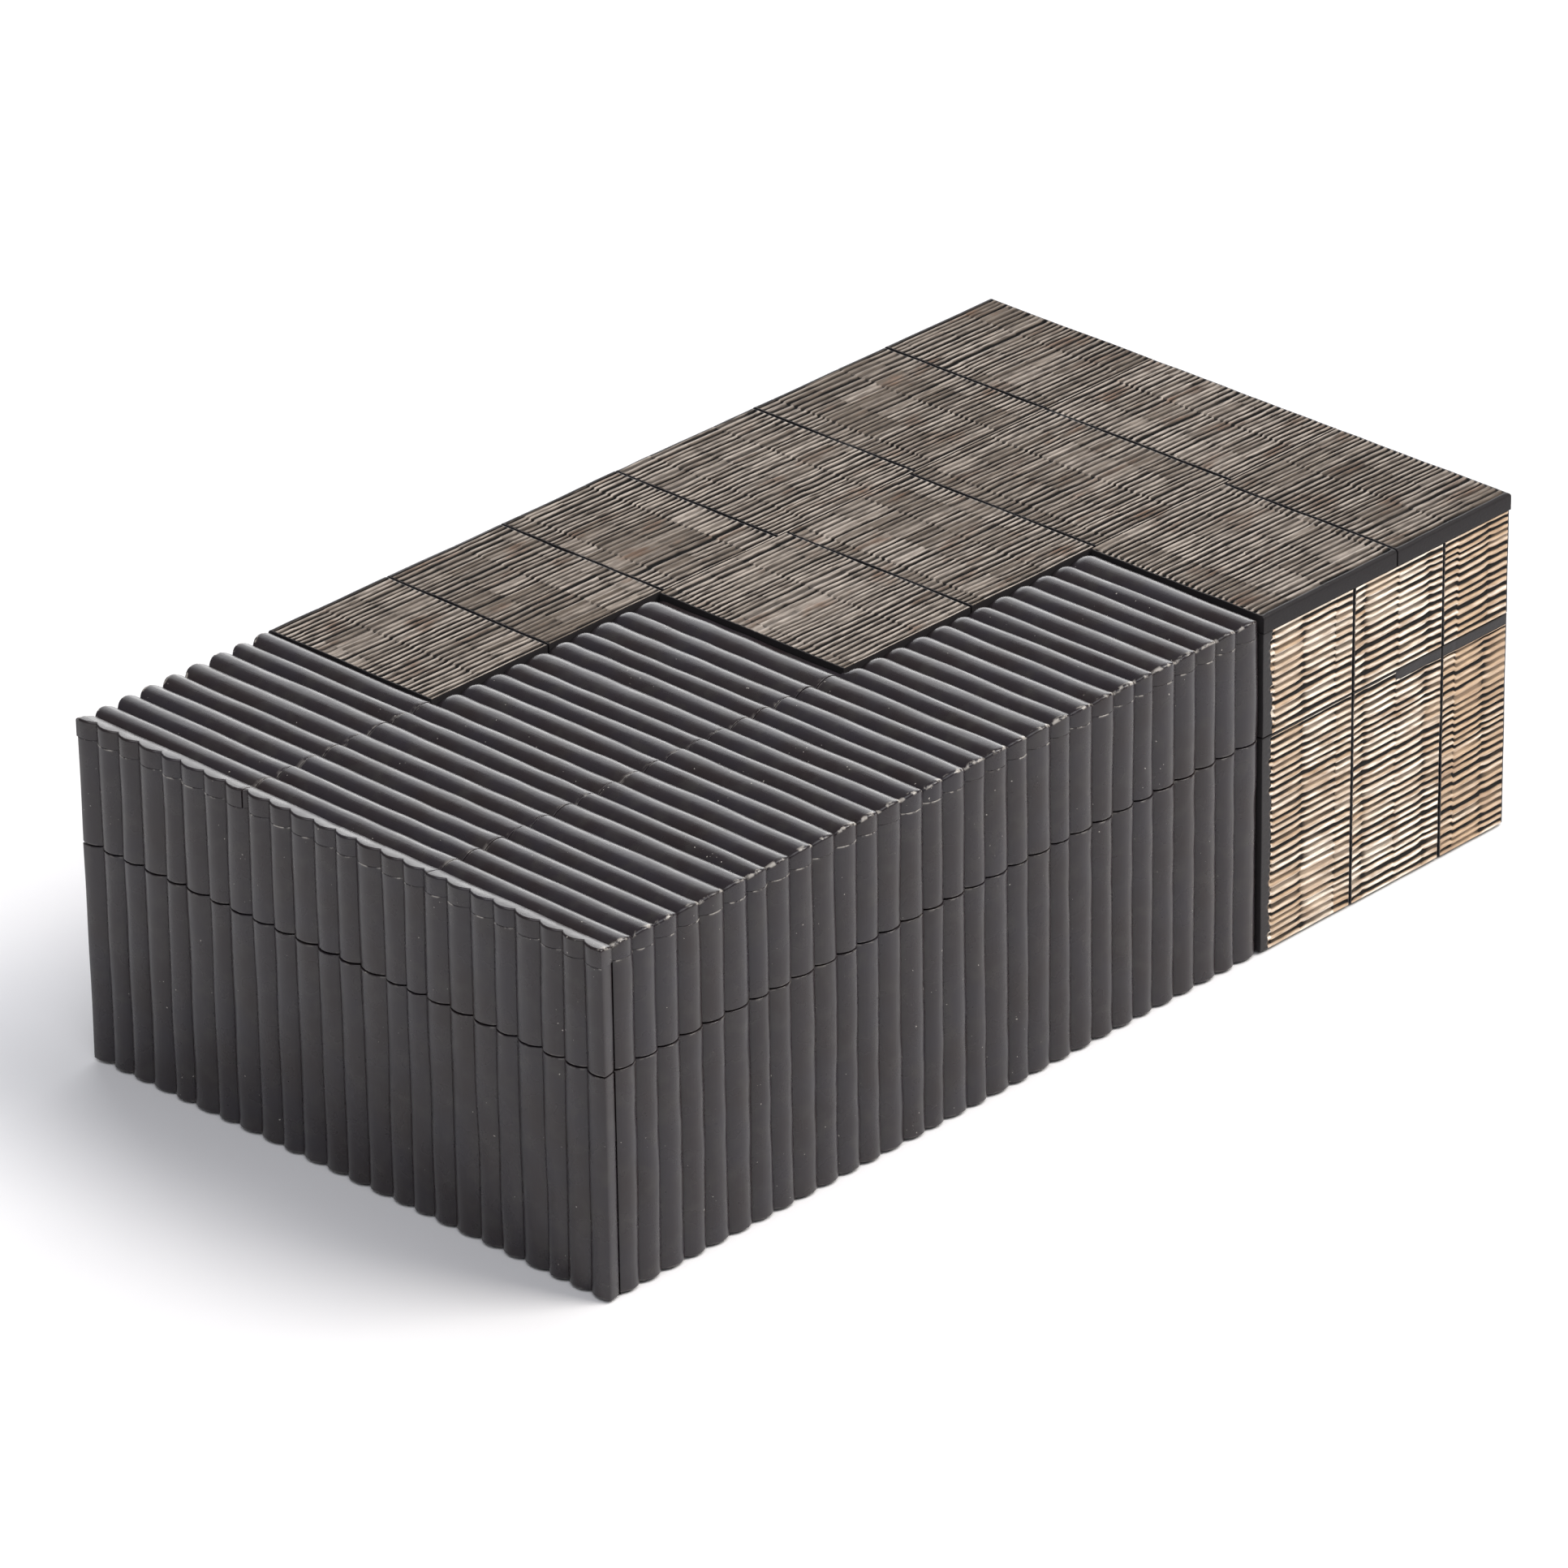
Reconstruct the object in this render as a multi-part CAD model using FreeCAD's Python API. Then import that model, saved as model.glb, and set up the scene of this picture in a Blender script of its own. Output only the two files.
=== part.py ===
"""A lidded keepsake box: a wooden carcass clad in carved slabs, with a lid that lifts off.

Frame: millimetres, origin at the centre of the underside, +Z up, +X towards the finely
grooved end and -X towards the reeded end. -Y is the front, +Y the back.
"""
import FreeCAD, Part
import math
import os

# Overall sizes, over the crests of the reeds
LENGTH = 305.0
WIDTH = 165.0
HEIGHT = 88.0
LID_HEIGHT = 31.5

# Cladding slabs
SIDE_CLAD = 4.5        # thickness on the sides, over the crests
TOP_CLAD = 4.5         # thickness on the top, over the crests
REED_PITCH = 7.06      # from one reed to the next along the front
END_REED_PITCH = 6.98  # from one reed to the next across the reeded end
END_REED_START = 0.7   # how far past the front corner the end's first valley would fall
REED_RISE = 1.5        # height of a reed's crest over the valleys beside it
HAIRLINE = 0.2         # joint between a reeded slab and its neighbour
OPEN_JOINT = 0.5       # joint round a grooved slab

# Pattern of the top: three rows, each reeded up to its own step
MIDDLE_ROW = 58.5      # depth of the middle row, front to back
FRONT_ROW_REEDS = 30.0
MIDDLE_ROW_REEDS = 18.2
BACK_ROW_REEDS = 7.8   # a part of a reed is one that the step cuts short

# Relative widths of the grooved slabs, which are stretched to fill what the reeds leave
TOP_BACK_SLABS = (37.3, 36.9, 37.8, 46.5, 45.7, 38.3)
TOP_MIDDLE_SLABS = (42.5, 41.9, 47.3, 38.5)
TOP_FRONT_SLABS = (45.8, 40.0)
FRONT_SLABS = (31.8, 31.7, 24.0)
BACK_SLABS = (74.2, 84.3, 84.0)

# Carcass
BOARD = 8.0            # side boards of the base
BOTTOM_BOARD = 6.0
LID_BOARD_TOP = 6.0
LINER = 3.0            # inner walls that locate the lid
LIP = 8.0              # how far the inner walls stand above the seam
LEAD_IN = 1.0          # chamfer on the lip's outer top edge
LID_CLEARANCE = 0.4    # gap between the lip and the lid's side boards
SEAM_GAP = 0.4         # gap between base and lid all round

# Felt
FELT = 1.0
FELT_CLEARANCE = 0.5   # gap round a lining
FOOT_FELT = 0.8
FOOT_INSET = 6.0       # from the outside of the box to the edge of the foot pad

# Places that follow from the sizes above
left, right = -LENGTH / 2, LENGTH / 2
front, back = -WIDTH / 2, WIDTH / 2
seam = HEIGHT - LID_HEIGHT
base_rim = seam - SEAM_GAP / 2
lid_rim = seam + SEAM_GAP / 2
top_bed = HEIGHT - TOP_CLAD            # the face that the top slabs are glued to
first_valley = left + SIDE_CLAD        # the corner reed hides the edge of the left slab
row_line_front = -MIDDLE_ROW / 2
row_line_back = MIDDLE_ROW / 2
front_step = first_valley + FRONT_ROW_REEDS * REED_PITCH
middle_step = first_valley + MIDDLE_ROW_REEDS * REED_PITCH
back_step = first_valley + BACK_ROW_REEDS * REED_PITCH

base_nodes = {}
lid_nodes = {}


def block(x0, x1, y0, y1, z0, z1):
    """A plain block between two opposite corners."""
    return Part.makeBox(x1 - x0, y1 - y0, z1 - z0, FreeCAD.Vector(x0, y0, z0))


def valleys(start, pitch, count):
    """The places of the valleys on each side of a run of reeds."""
    return [start + pitch * number for number in range(count + 1)]


def reeded_profile(places, far_end, crest, bed, point):
    """A closed face whose upper edge is a run of arcs, one to a reed, then a straight stretch.

    places are the valleys along the run, far_end is where the straight stretch stops, crest
    and bed are the levels of the upper and the lower edge, and point(along, level) places a
    point of the profile in space.
    """
    inward = math.copysign(REED_RISE, bed - crest)
    valley = crest + inward
    edges = []
    for near, far in zip(places, places[1:]):
        ends = point(near, valley), point(far, valley)
        edges.append(Part.Arc(ends[0], point((near + far) / 2, crest), ends[1]).toShape())
    corners = [point(places[-1], valley), point(places[-1], crest), point(far_end, crest)]
    corners += [point(far_end, bed), point(places[0], bed), point(places[0], valley)]
    if math.isclose(places[-1], far_end):
        corners = [point(far_end, valley)] + corners[3:]
    for start, end in zip(corners, corners[1:]):
        edges.append(Part.makeLine(start, end))
    return Part.Face(Part.Wire(edges))


def reeded_envelope():
    """The space inside the reeds of all four sides and the top, from the floor up."""
    corner_reed = [left - SIDE_CLAD]
    front_places = corner_reed + valleys(first_valley, REED_PITCH, int(FRONT_ROW_REEDS))
    back_places = corner_reed + valleys(first_valley, REED_PITCH, math.ceil(BACK_ROW_REEDS))
    end_start = front - END_REED_START
    end_reeds = math.ceil((back - end_start) / END_REED_PITCH)
    end_places = valleys(end_start, END_REED_PITCH, end_reeds)
    up = FreeCAD.Vector(0, 0, HEIGHT)

    def on_floor(x, y):
        return FreeCAD.Vector(x, y, 0)

    front_half = reeded_profile(front_places, right, front, 0, on_floor).extrude(up)
    back_half = reeded_profile(back_places, right, back, 0, on_floor).extrude(up)
    end = reeded_profile(
        end_places, end_places[-1], left, right, lambda y, x: on_floor(x, y)
    ).extrude(up)
    roof = reeded_profile(
        front_places, right, HEIGHT, 0, lambda x, z: FreeCAD.Vector(x, front, z)
    ).extrude(FreeCAD.Vector(0, WIDTH, 0))
    plan = front_half.fuse(back_half).removeSplitter().common(end)
    return plan, plan.common(roof)


def row_of_slabs(nodes, name, start, end, widths, y0, y1, z0, z1):
    """Grooved slabs side by side along X, with an open joint at the start and between them."""
    scale = (end - start) / sum(widths)
    edge = start
    for number, width in enumerate(widths, 1):
        far_edge = edge + width * scale
        nodes[f"{name}_{number}"] = block(edge + OPEN_JOINT, far_edge, y0, y1, z0, z1)
        edge = far_edge


def side_cladding(nodes, name, plan, z0, z1):
    """The slabs round the four sides of the base or of the lid, between two heights."""
    inner_left, inner_right = first_valley, right - SIDE_CLAD
    inner_front, inner_back = front + SIDE_CLAD, back - SIDE_CLAD
    run = inner_left + HAIRLINE
    nodes[f"{name}_left_reeds"] = block(left, inner_left, front, back, z0, z1).common(plan)
    nodes[f"{name}_front_reeds"] = block(run, front_step, front, inner_front, z0, z1).common(plan)
    nodes[f"{name}_back_reeds"] = block(run, back_step, inner_back, back, z0, z1).common(plan)
    row_of_slabs(nodes, f"{name}_front_fine", front_step, right, FRONT_SLABS,
                 front, inner_front, z0, z1)
    row_of_slabs(nodes, f"{name}_back_fine", back_step, right, BACK_SLABS,
                 inner_back, back, z0, z1)
    lines = [inner_front, row_line_front, row_line_back, inner_back]
    for number, (near, far) in enumerate(zip(lines, lines[1:]), 1):
        nodes[f"{name}_right_fine_{number}"] = block(
            inner_right, right, near + OPEN_JOINT / 2, far - OPEN_JOINT / 2, z0, z1)


def top_cladding(nodes, envelope):
    """Three rows of slabs on the lid: reeds up to the row's step, then grooved slabs."""
    rows = (
        ("back", row_line_back, back, back_step, TOP_BACK_SLABS),
        ("middle", row_line_front, row_line_back, middle_step, TOP_MIDDLE_SLABS),
        ("front", front, row_line_front, front_step, TOP_FRONT_SLABS),
    )
    for name, near, far, step, widths in rows:
        reeds_near = near if near == front else near + HAIRLINE / 2
        reeds_far = far if far == back else far - HAIRLINE / 2
        reeds = block(left, step, reeds_near, reeds_far, top_bed, HEIGHT).common(envelope)
        nodes[f"top_reeds_{name}"] = reeds
        slabs_near = near if near == front else near + OPEN_JOINT / 2
        slabs_far = far if far == back else far - OPEN_JOINT / 2
        row_of_slabs(nodes, f"top_fine_{name}", step, right, widths,
                     slabs_near, slabs_far, top_bed, HEIGHT)


def ring_of_boards(nodes, name, x_out, y_out, x_in, y_in, z0, z1, shape=None):
    """Four boards round a rectangle, butt jointed: front and back run the full length."""
    boards = {
        "front": block(-x_out, x_out, -y_out, -y_in, z0, z1),
        "back": block(-x_out, x_out, y_in, y_out, z0, z1),
        "left": block(-x_out, -x_in, -y_in, y_in, z0, z1),
        "right": block(x_in, x_out, -y_in, y_in, z0, z1),
    }
    for side, board in boards.items():
        nodes[name.format(side)] = board.common(shape) if shape else board


def lip_block(x_out, y_out, z0, z1):
    """The outside of the four inner walls, with a lead-in chamfer round the top."""
    outside = block(-x_out, x_out, -y_out, y_out, z0, z1)
    rim = [edge for edge in outside.Edges
           if all(math.isclose(vertex.Z, z1) for vertex in edge.Vertexes)]
    return outside.makeChamfer(min(LEAD_IN, LINER / 2), rim)


def build_base(plan):
    """Carcass, inner walls, felt and cladding of the base."""
    x_out, y_out = right - SIDE_CLAD, back - SIDE_CLAD
    x_in, y_in = x_out - BOARD, y_out - BOARD
    x_liner, y_liner = x_in - LINER, y_in - LINER
    floor = FOOT_FELT + BOTTOM_BOARD
    ring_of_boards(base_nodes, "base_{}_board", x_out, y_out, x_in, y_in, FOOT_FELT, base_rim)
    base_nodes["base_bottom_board"] = block(-x_in, x_in, -y_in, y_in, FOOT_FELT, floor)
    lip = lip_block(x_in, y_in, floor, seam + LIP)
    ring_of_boards(base_nodes, "liner_{}", x_in, y_in, x_liner, y_liner, floor, seam + LIP, lip)
    x_felt, y_felt = x_liner - FELT_CLEARANCE, y_liner - FELT_CLEARANCE
    base_nodes["floor_felt"] = block(-x_felt, x_felt, -y_felt, y_felt, floor, floor + FELT)
    x_foot, y_foot = right - FOOT_INSET, back - FOOT_INSET
    base_nodes["foot_felt"] = block(-x_foot, x_foot, -y_foot, y_foot, 0, FOOT_FELT)
    side_cladding(base_nodes, "base", plan, FOOT_FELT, base_rim)


def build_lid(plan, envelope):
    """Carcass, felt and cladding of the lid."""
    x_out, y_out = right - SIDE_CLAD, back - SIDE_CLAD
    x_in, y_in = x_out - BOARD + LID_CLEARANCE, y_out - BOARD + LID_CLEARANCE
    ceiling = top_bed - LID_BOARD_TOP
    ring_of_boards(lid_nodes, "lid_{}_board", x_out, y_out, x_in, y_in, lid_rim, ceiling)
    lid_nodes["lid_top_board"] = block(-x_out, x_out, -y_out, y_out, ceiling, top_bed)
    x_felt, y_felt = x_in - FELT_CLEARANCE, y_in - FELT_CLEARANCE
    lid_nodes["lid_felt"] = block(-x_felt, x_felt, -y_felt, y_felt, ceiling - FELT, ceiling)
    side_cladding(lid_nodes, "lid", plan, lid_rim, top_bed - HAIRLINE)
    top_cladding(lid_nodes, envelope)


plan_space, reeded_space = reeded_envelope()
build_base(plan_space)
build_lid(plan_space, reeded_space)

os.makedirs("parts", exist_ok=True)
for node_name, solid in {**base_nodes, **lid_nodes}.items():
    solid.exportStep(f"parts/{node_name}.step")
    print(node_name, len(solid.Solids), solid.isValid(), round(solid.Volume))
print(len(base_nodes), "base nodes,", len(lid_nodes), "lid nodes")
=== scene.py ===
"""A lidded keepsake box, clad in black reeded slabs and in pale slabs cut with fine grooves."""
import math

import bpy
import numpy as np
from mathutils import Matrix, Vector


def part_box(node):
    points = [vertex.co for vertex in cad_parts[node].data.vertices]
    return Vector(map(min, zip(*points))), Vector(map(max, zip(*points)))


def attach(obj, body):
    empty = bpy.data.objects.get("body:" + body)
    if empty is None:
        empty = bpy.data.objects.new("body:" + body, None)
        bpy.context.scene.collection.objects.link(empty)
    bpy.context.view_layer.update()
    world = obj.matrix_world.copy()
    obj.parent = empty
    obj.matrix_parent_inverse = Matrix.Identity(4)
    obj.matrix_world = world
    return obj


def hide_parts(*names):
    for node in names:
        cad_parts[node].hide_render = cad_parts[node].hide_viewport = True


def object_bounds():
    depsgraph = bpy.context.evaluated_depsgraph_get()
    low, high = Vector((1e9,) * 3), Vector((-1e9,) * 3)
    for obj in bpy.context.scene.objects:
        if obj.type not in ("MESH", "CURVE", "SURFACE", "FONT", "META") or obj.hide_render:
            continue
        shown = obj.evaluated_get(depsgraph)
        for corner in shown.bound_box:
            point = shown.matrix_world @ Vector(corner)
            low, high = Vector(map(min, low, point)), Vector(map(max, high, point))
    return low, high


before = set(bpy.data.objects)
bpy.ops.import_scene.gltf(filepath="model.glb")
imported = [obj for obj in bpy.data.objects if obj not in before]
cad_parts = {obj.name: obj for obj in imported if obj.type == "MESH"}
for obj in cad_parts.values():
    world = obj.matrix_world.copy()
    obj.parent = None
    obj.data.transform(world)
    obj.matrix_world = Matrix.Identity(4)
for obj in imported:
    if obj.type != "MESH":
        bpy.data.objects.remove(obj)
cad_low, cad_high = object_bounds()
MM = 0.001


# ---------------------------------------------------------------------------------------------
# Camera: a long lens, a little above the box, that looks at the corner between the reeded end
# and the front. It stands on a tripod that leans by less than a degree.
# ---------------------------------------------------------------------------------------------

camera_azimuth = math.radians(-46.14)
camera_elevation = math.radians(27.38)
camera_roll = math.radians(-0.85)
camera_distance = 2.2742
camera_aim = (-6.17 * MM, -2.50 * MM)

away = Vector((
    math.sin(camera_azimuth) * math.cos(camera_elevation),
    -math.cos(camera_azimuth) * math.cos(camera_elevation),
    math.sin(camera_elevation),
))
level_right = Vector((math.cos(camera_azimuth), math.sin(camera_azimuth), 0))
level_up = away.cross(level_right)
view_right = level_right * math.cos(camera_roll) + level_up * math.sin(camera_roll)
view_up = level_up * math.cos(camera_roll) - level_right * math.sin(camera_roll)
box_centre = (cad_low + cad_high) / 2
aim_point = box_centre + level_right * camera_aim[0] + level_up * camera_aim[1]

camera_data = bpy.data.cameras.new("camera")
camera_data.sensor_width = 36
camera_data.lens = 225.6
camera_data.clip_start, camera_data.clip_end = 0.1, 30
camera = bpy.data.objects.new("camera", camera_data)
camera.matrix_world = Matrix.Translation(aim_point + away * camera_distance) @ Matrix(
    (view_right, view_up, away)
).transposed().to_4x4()
bpy.context.scene.collection.objects.link(camera)
bpy.context.scene.camera = camera


# ---------------------------------------------------------------------------------------------
# Reeded slabs: 4.5 mm slabs of hardwood, cut by hand with a round-nosed tool into reeds 7 mm
# wide, lacquered black and rubbed down to a satin. They are glued to the carcass. One valley
# line runs up the front, over the top and down the back, so a reed turns the corner unbroken.
# ---------------------------------------------------------------------------------------------

clad = 4.5 * MM
reed_pitch = 7.06 * MM
reed_rise = 1.5 * MM
corner_rise = 0.8 * MM
end_reed_pitch = 6.98 * MM
end_reed_start = 0.7 * MM
hairline = 0.2 * MM
reed_samples = 12
crisp = 0.1 * MM
row_spacing = 2.5 * MM
waves_fade = 4 * MM
rim_width = 0.22 * MM

left, front = cad_low.x, cad_low.y
right, back, roof = cad_high
first_valley = left + clad


def wandering_lines(first, pitch, count, fixed, seed):
    """Valleys cut by eye, as a function of the distance run along them.

    Line k lies at first + k * pitch, plus a fixed error of about 0.3 mm, plus two slow sine
    waves, each up to 0.2 mm high and 60 to 190 mm long. The lines named in fixed have no fixed
    error.
    """
    draw = np.random.default_rng(seed)
    error = np.clip(draw.normal(0, 0.3, count + 1), -0.5, 0.5) * MM
    error[list(fixed)] = 0
    swing = draw.uniform(0.03, 0.2, (count + 1, 2)) * MM
    swing[0] = 0
    length = draw.uniform(60, 190, (count + 1, 2)) * MM
    start = draw.uniform(0, 2 * math.pi, (count + 1, 2))

    def at(run):
        turns = 2 * math.pi * run[None, None, :] / length[:, :, None] + start[:, :, None]
        place = first + pitch * np.arange(count + 1) + error
        return place[:, None] + (swing[:, :, None] * np.sin(turns)).sum(1)

    return at


def slow_waves(p, q, seed, height=0.03 * MM):
    """Hand-worked unevenness: eight plane waves, 9 to 60 mm long, in directions at random."""
    draw = np.random.default_rng(seed)
    total = np.zeros(np.broadcast(p, q).shape)
    for _ in range(8):
        angle, phase = draw.uniform(0, 2 * math.pi, 2)
        turn = 2 * math.pi / (draw.uniform(9, 60) * MM)
        total += height * np.sin(turn * (p * math.cos(angle) + q * math.sin(angle)) + phase)
    return total


def bell(distance, width):
    """1 where the distance is nothing, falling off as exp(-(distance / width)^2)."""
    return np.exp(-((distance / width) ** 2))


def reed_surface(lines, low, high, first_rise=reed_rise):
    """Places across a run of reeds, and the depth of the surface there.

    lines holds the valleys, one row of the array to each, and low and high are where the run
    starts and stops. Across a reed the places are cosine spaced, and the depth is an arc of a
    circle: radius - sqrt(radius^2 - offset^2), where radius = (half^2 + rise^2) / (2 * rise),
    so that it is rise at both valleys. A sliver of a reed at either end is cut as part of its
    neighbour.
    """
    narrowest = 1.2 * MM
    spread = 0.5 - 0.5 * np.cos(math.pi * np.arange(reed_samples) / reed_samples)
    places, depths = [], []
    spans = list(zip(lines, lines[1:]))
    seen = [
        number for number, (near, far) in enumerate(spans)
        if (np.minimum(far, high) - np.maximum(near, low)).min() > narrowest
    ]
    for number in seen:
        near, far = spans[number]
        start = low if number == seen[0] else near
        stop = high if number == seen[-1] else far
        steps = np.append(spread, 1) if number == seen[-1] else spread
        place = start + steps[:, None] * (stop - start)
        rise = first_rise if number == 0 else reed_rise
        half = (far - near) / 2
        offset = np.clip(place - (near + far) / 2, -half, half)
        radius = (half**2 + rise**2) / (2 * rise)
        places.append(place)
        depths.append(radius - np.sqrt(radius**2 - offset**2))
    return np.concatenate(places), np.concatenate(depths)


def rim_loop(across, along):
    """Indices of a grid's rim, anticlockwise, and which way is out there along each axis."""
    a = np.concatenate([
        np.arange(across), np.full(along - 1, across - 1),
        np.arange(across - 2, -1, -1), np.zeros(along - 2, int),
    ])
    b = np.concatenate([
        np.zeros(across, int), np.arange(1, along),
        np.full(across - 1, along - 1), np.arange(along - 2, 0, -1),
    ])
    out_p = (a == across - 1).astype(float) - (a == 0)
    out_q = (b == along - 1).astype(float) - (b == 0)
    return a, b, out_p, out_q


def slab_faces(across, along, rings, low_skip=1, high_skip=1):
    """Faces of a closed slab: a grid, rings of quads down its walls, and strips for its back.

    The first and last strips of the back take in low_skip and high_skip steps of the grid, so
    that they reach past the notches of a wavy wall.
    """
    a, b = np.meshgrid(np.arange(across - 1), np.arange(along - 1), indexing="ij")
    corner = (a * along + b).ravel()
    grid = np.stack([corner, corner + along, corner + along + 1, corner + 1], 1)
    rim_a, rim_b, _, _ = rim_loop(across, along)
    count = len(rim_a)
    loops = [rim_a * along + rim_b]
    loops += [across * along + number * count + np.arange(count) for number in range(rings)]
    walls = [
        np.stack([upper, lower, np.roll(lower, -1), np.roll(upper, -1)], 1)
        for upper, lower in zip(loops, loops[1:])
    ]
    last = loops[-1]
    far = 2 * (across - 1) + along - 1
    strips = [
        [last[far - step], last[far - step - 1], last[step + 1], last[step]]
        for step in range(low_skip, across - 1 - high_skip)
    ]
    first_strip = [*last[far:], *last[:low_skip + 1], *last[far - low_skip:far]][::-1]
    last_strip = [*last[across - 1 - high_skip:across + along - 1 + high_skip]][::-1]
    quads = np.concatenate([grid, *walls]).tolist()
    return quads + [[int(i) for i in face] for face in [first_strip, *strips, last_strip]]


def slab_on(side):
    """Turns (along the face, up the face, out of the face) into places on one face of the box."""
    origin, p, q, out = {
        "front": ((0, front, 0), (1, 0, 0), (0, 0, 1), (0, -1, 0)),
        "back": ((0, back, 0), (-1, 0, 0), (0, 0, 1), (0, 1, 0)),
        "left": ((left, 0, 0), (0, -1, 0), (0, 0, 1), (-1, 0, 0)),
        "right": ((right, 0, 0), (0, 1, 0), (0, 0, 1), (1, 0, 0)),
        "top": ((0, 0, roof), (1, 0, 0), (0, 1, 0), (0, 0, 1)),
    }[side]
    axes = np.array([p, q, out], float)
    return lambda points: np.array(origin) + points @ axes


def make_slab(node, side, p, q, depth, radii, marks, corner_depth=None, sharp=35, bed=clad):
    """Makes the closed slab that stands for a node, from its carved surface.

    The rim is rounded over: three rings step out by radius * sin(angle) and down by
    radius * (1 - cos(angle)). radii are those of the low and high ends of p, then of q. The
    wall then drops to the bed, straight, or along corner_depth, which says how far a wall at
    either end of p has come in at a given depth. marks are values on the grid for the
    material, each with the value on the wall. The rounding takes those of the rim.
    """
    across, along = p.shape
    surface = np.stack([p, q, -depth], 2)
    a, b, out_p, out_q = rim_loop(across, along)
    radius_p = np.where(out_p < 0, radii[0], radii[1]) * np.abs(out_p)
    radius_q = np.where(out_q < 0, radii[2], radii[3]) * np.abs(out_q)
    drop = np.maximum(radius_p, radius_q)
    rim = surface[a, b]
    rounding = np.radians([30, 60, 90])
    rings = []
    for angle in rounding:
        ring = rim.copy()
        ring[:, 0] += out_p * radius_p * math.sin(angle)
        ring[:, 1] += out_q * radius_q * math.sin(angle)
        ring[:, 2] -= drop * (1 - math.cos(angle))
        rings.append(ring)
    shoulder = rings[-1]
    steps = (1,) if corner_depth is None else (0.2, 0.4, 0.6, 0.8, 1)
    for step in steps:
        ring = shoulder.copy()
        ring[:, 2] += step * (-bed - ring[:, 2])
        if corner_depth is not None:
            ring[:, 0] -= out_p * (corner_depth(-ring[:, 2]) - corner_depth(-shoulder[:, 2]))
        rings.append(ring)
    points = np.concatenate([surface.reshape(-1, 3), *rings])

    # The first place along each side rim that lies past every notch of the wall next to it.
    low_skip = 1 + int(np.argmax(np.minimum(p[1:, 0], p[1:, -1]) > p[0].max()))
    high_skip = 1 + int(np.argmax(np.maximum(p[-2::-1, 0], p[-2::-1, -1]) < p[-1].min()))
    faces = slab_faces(across, along, len(rings), low_skip, high_skip)
    mesh = bpy.data.meshes.new(node)
    mesh.from_pydata(slab_on(side)(points).tolist(), [], faces)
    grain = mesh.attributes.new("grain", "FLOAT_VECTOR", "POINT")
    grain.data.foreach_set("vector", points.ravel())
    for name, (values, on_wall) in marks.items():
        mark = mesh.attributes.new(name, "FLOAT", "POINT")
        rounded = [values[a, b]] * 2
        walls = np.full((len(rings) - len(rounded)) * len(a), on_wall, float)
        mark.data.foreach_set("value", np.concatenate([values.ravel(), *rounded, walls]))
    mesh.shade_smooth()
    mesh.set_sharp_from_angle(angle=math.radians(sharp))
    slab = bpy.data.objects.new(f"{node}_carved", mesh)
    bpy.context.scene.collection.objects.link(slab)
    return slab


def linear(hex_colour, alpha=1.0):
    """An sRGB hex colour as the linear values that a shader takes."""
    parts = [int(hex_colour[i:i + 2], 16) / 255 for i in (1, 3, 5)]
    parts = [c / 12.92 if c <= 0.04045 else ((c + 0.055) / 1.055) ** 2.4 for c in parts]
    return (*parts, alpha)


def start_material(name):
    """An empty node material."""
    material = bpy.data.materials.new(name)
    material.use_nodes = True
    material.node_tree.nodes.clear()
    return material


def add_node(material, kind, inputs, stops=(), take=None, **settings):
    """Adds a shader node and gives back one of its outputs.

    inputs maps the name or number of a socket to a value or to another node's output, stops
    are the places and colours of a ramp, and take names the output that is wanted.
    """
    node = material.node_tree.nodes.new(f"ShaderNode{kind}")
    for name, value in settings.items():
        setattr(node, name, value)
    for name, value in inputs.items():
        if isinstance(value, bpy.types.NodeSocket):
            material.node_tree.links.new(value, node.inputs[name])
        else:
            node.inputs[name].default_value = value
    for number, (place, colour) in enumerate(stops):
        elements = node.color_ramp.elements
        element = elements[number] if number < 2 else elements.new(place)
        element.position, element.color = place, colour
    return node.outputs[take] if take else next((o for o in node.outputs if o.enabled), None)


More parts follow.
